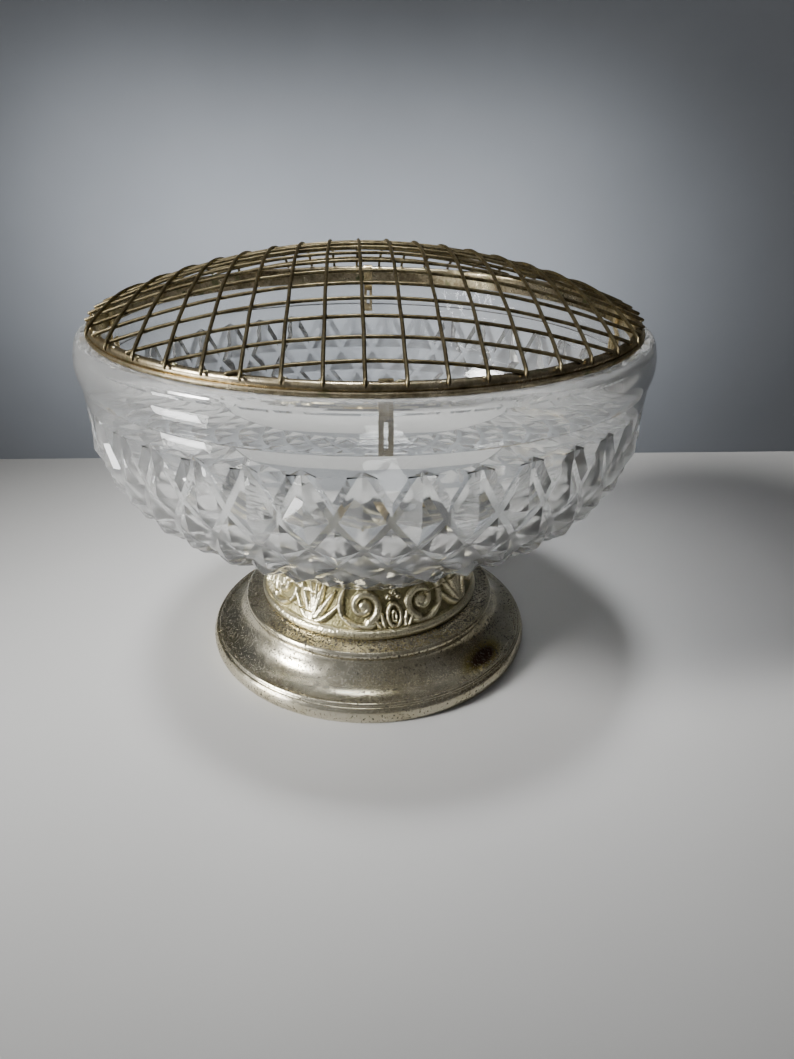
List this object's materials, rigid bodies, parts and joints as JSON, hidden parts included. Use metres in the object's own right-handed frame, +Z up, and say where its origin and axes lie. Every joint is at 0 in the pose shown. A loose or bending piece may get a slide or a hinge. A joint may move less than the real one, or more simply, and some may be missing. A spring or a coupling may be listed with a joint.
{
  "type": "rose bowl flower frog",
  "caption": "Footed glass rose bowl with a lift-off domed wire-grid flower frog on a ring with spring legs.",
  "frame": {"origin": "centre of the foot's resting plane", "axes": "+Z up along the bowl's axis, +Y towards the back, +X to the right as one of the wire directions"},
  "size_m": [0.163, 0.163, 0.1277],
  "materials": {
    "pressed_glass": "clear pressed glass, fire polished",
    "silver_plate": "worn silver plate, finely pitted",
    "gallery_plate": "worn silver plate with brass showing",
    "tarnished_wire": "tarnished plated brass wire",
    "tarnished_ring": "tarnished plated brass",
    "leg_strip": "dull brass strip",
    "fixing_brass": "turned brass",
    "zinc_steel": "zinc plated",
    "soft_rubber": "matte"
  },
  "bodies": {
    "bowl_on_foot": {"cap_washer": "fixing_brass", "centre_bolt": "fixing_brass", "clamp_nut": "fixing_brass", "foot_base": "silver_plate", "foot_gallery": "gallery_plate", "glass_bowl": "pressed_glass", "inner_seal": "soft_rubber", "plain_washer": "zinc_steel", "seat_gasket": "soft_rubber", "under_plate": "zinc_steel"},
    "flower_frog": {"frog_leg_back": "leg_strip", "frog_leg_front": "leg_strip", "frog_leg_left": "leg_strip", "frog_leg_right": "leg_strip", "frog_ring": "tarnished_ring", "leg_rivets": "leg_strip", "wire_crosswise_01": "tarnished_wire", "wire_crosswise_02": "tarnished_wire", "wire_crosswise_03": "tarnished_wire", "wire_crosswise_04": "tarnished_wire", "wire_crosswise_05": "tarnished_wire", "wire_crosswise_06": "tarnished_wire", "wire_crosswise_07": "tarnished_wire", "wire_crosswise_08": "tarnished_wire", "wire_crosswise_09": "tarnished_wire", "wire_crosswise_10": "tarnished_wire", "wire_crosswise_11": "tarnished_wire", "wire_crosswise_12": "tarnished_wire", "wire_crosswise_13": "tarnished_wire", "wire_crosswise_14": "tarnished_wire", "wire_crosswise_15": "tarnished_wire", "wire_crosswise_16": "tarnished_wire", "wire_crosswise_17": "tarnished_wire", "wire_lengthwise_01": "tarnished_wire", "wire_lengthwise_02": "tarnished_wire", "wire_lengthwise_03": "tarnished_wire", "wire_lengthwise_04": "tarnished_wire", "wire_lengthwise_05": "tarnished_wire", "wire_lengthwise_06": "tarnished_wire", "wire_lengthwise_07": "tarnished_wire", "wire_lengthwise_08": "tarnished_wire", "wire_lengthwise_09": "tarnished_wire", "wire_lengthwise_10": "tarnished_wire", "wire_lengthwise_11": "tarnished_wire", "wire_lengthwise_12": "tarnished_wire", "wire_lengthwise_13": "tarnished_wire", "wire_lengthwise_14": "tarnished_wire", "wire_lengthwise_15": "tarnished_wire", "wire_lengthwise_16": "tarnished_wire", "wire_lengthwise_17": "tarnished_wire"}
  },
  "joints": [
    {"name": "frog_lift", "type": "slide", "parent": "bowl_on_foot", "child": "flower_frog", "axis": [0, 0, 1], "range_m": [0, 0.08]}
  ]
}
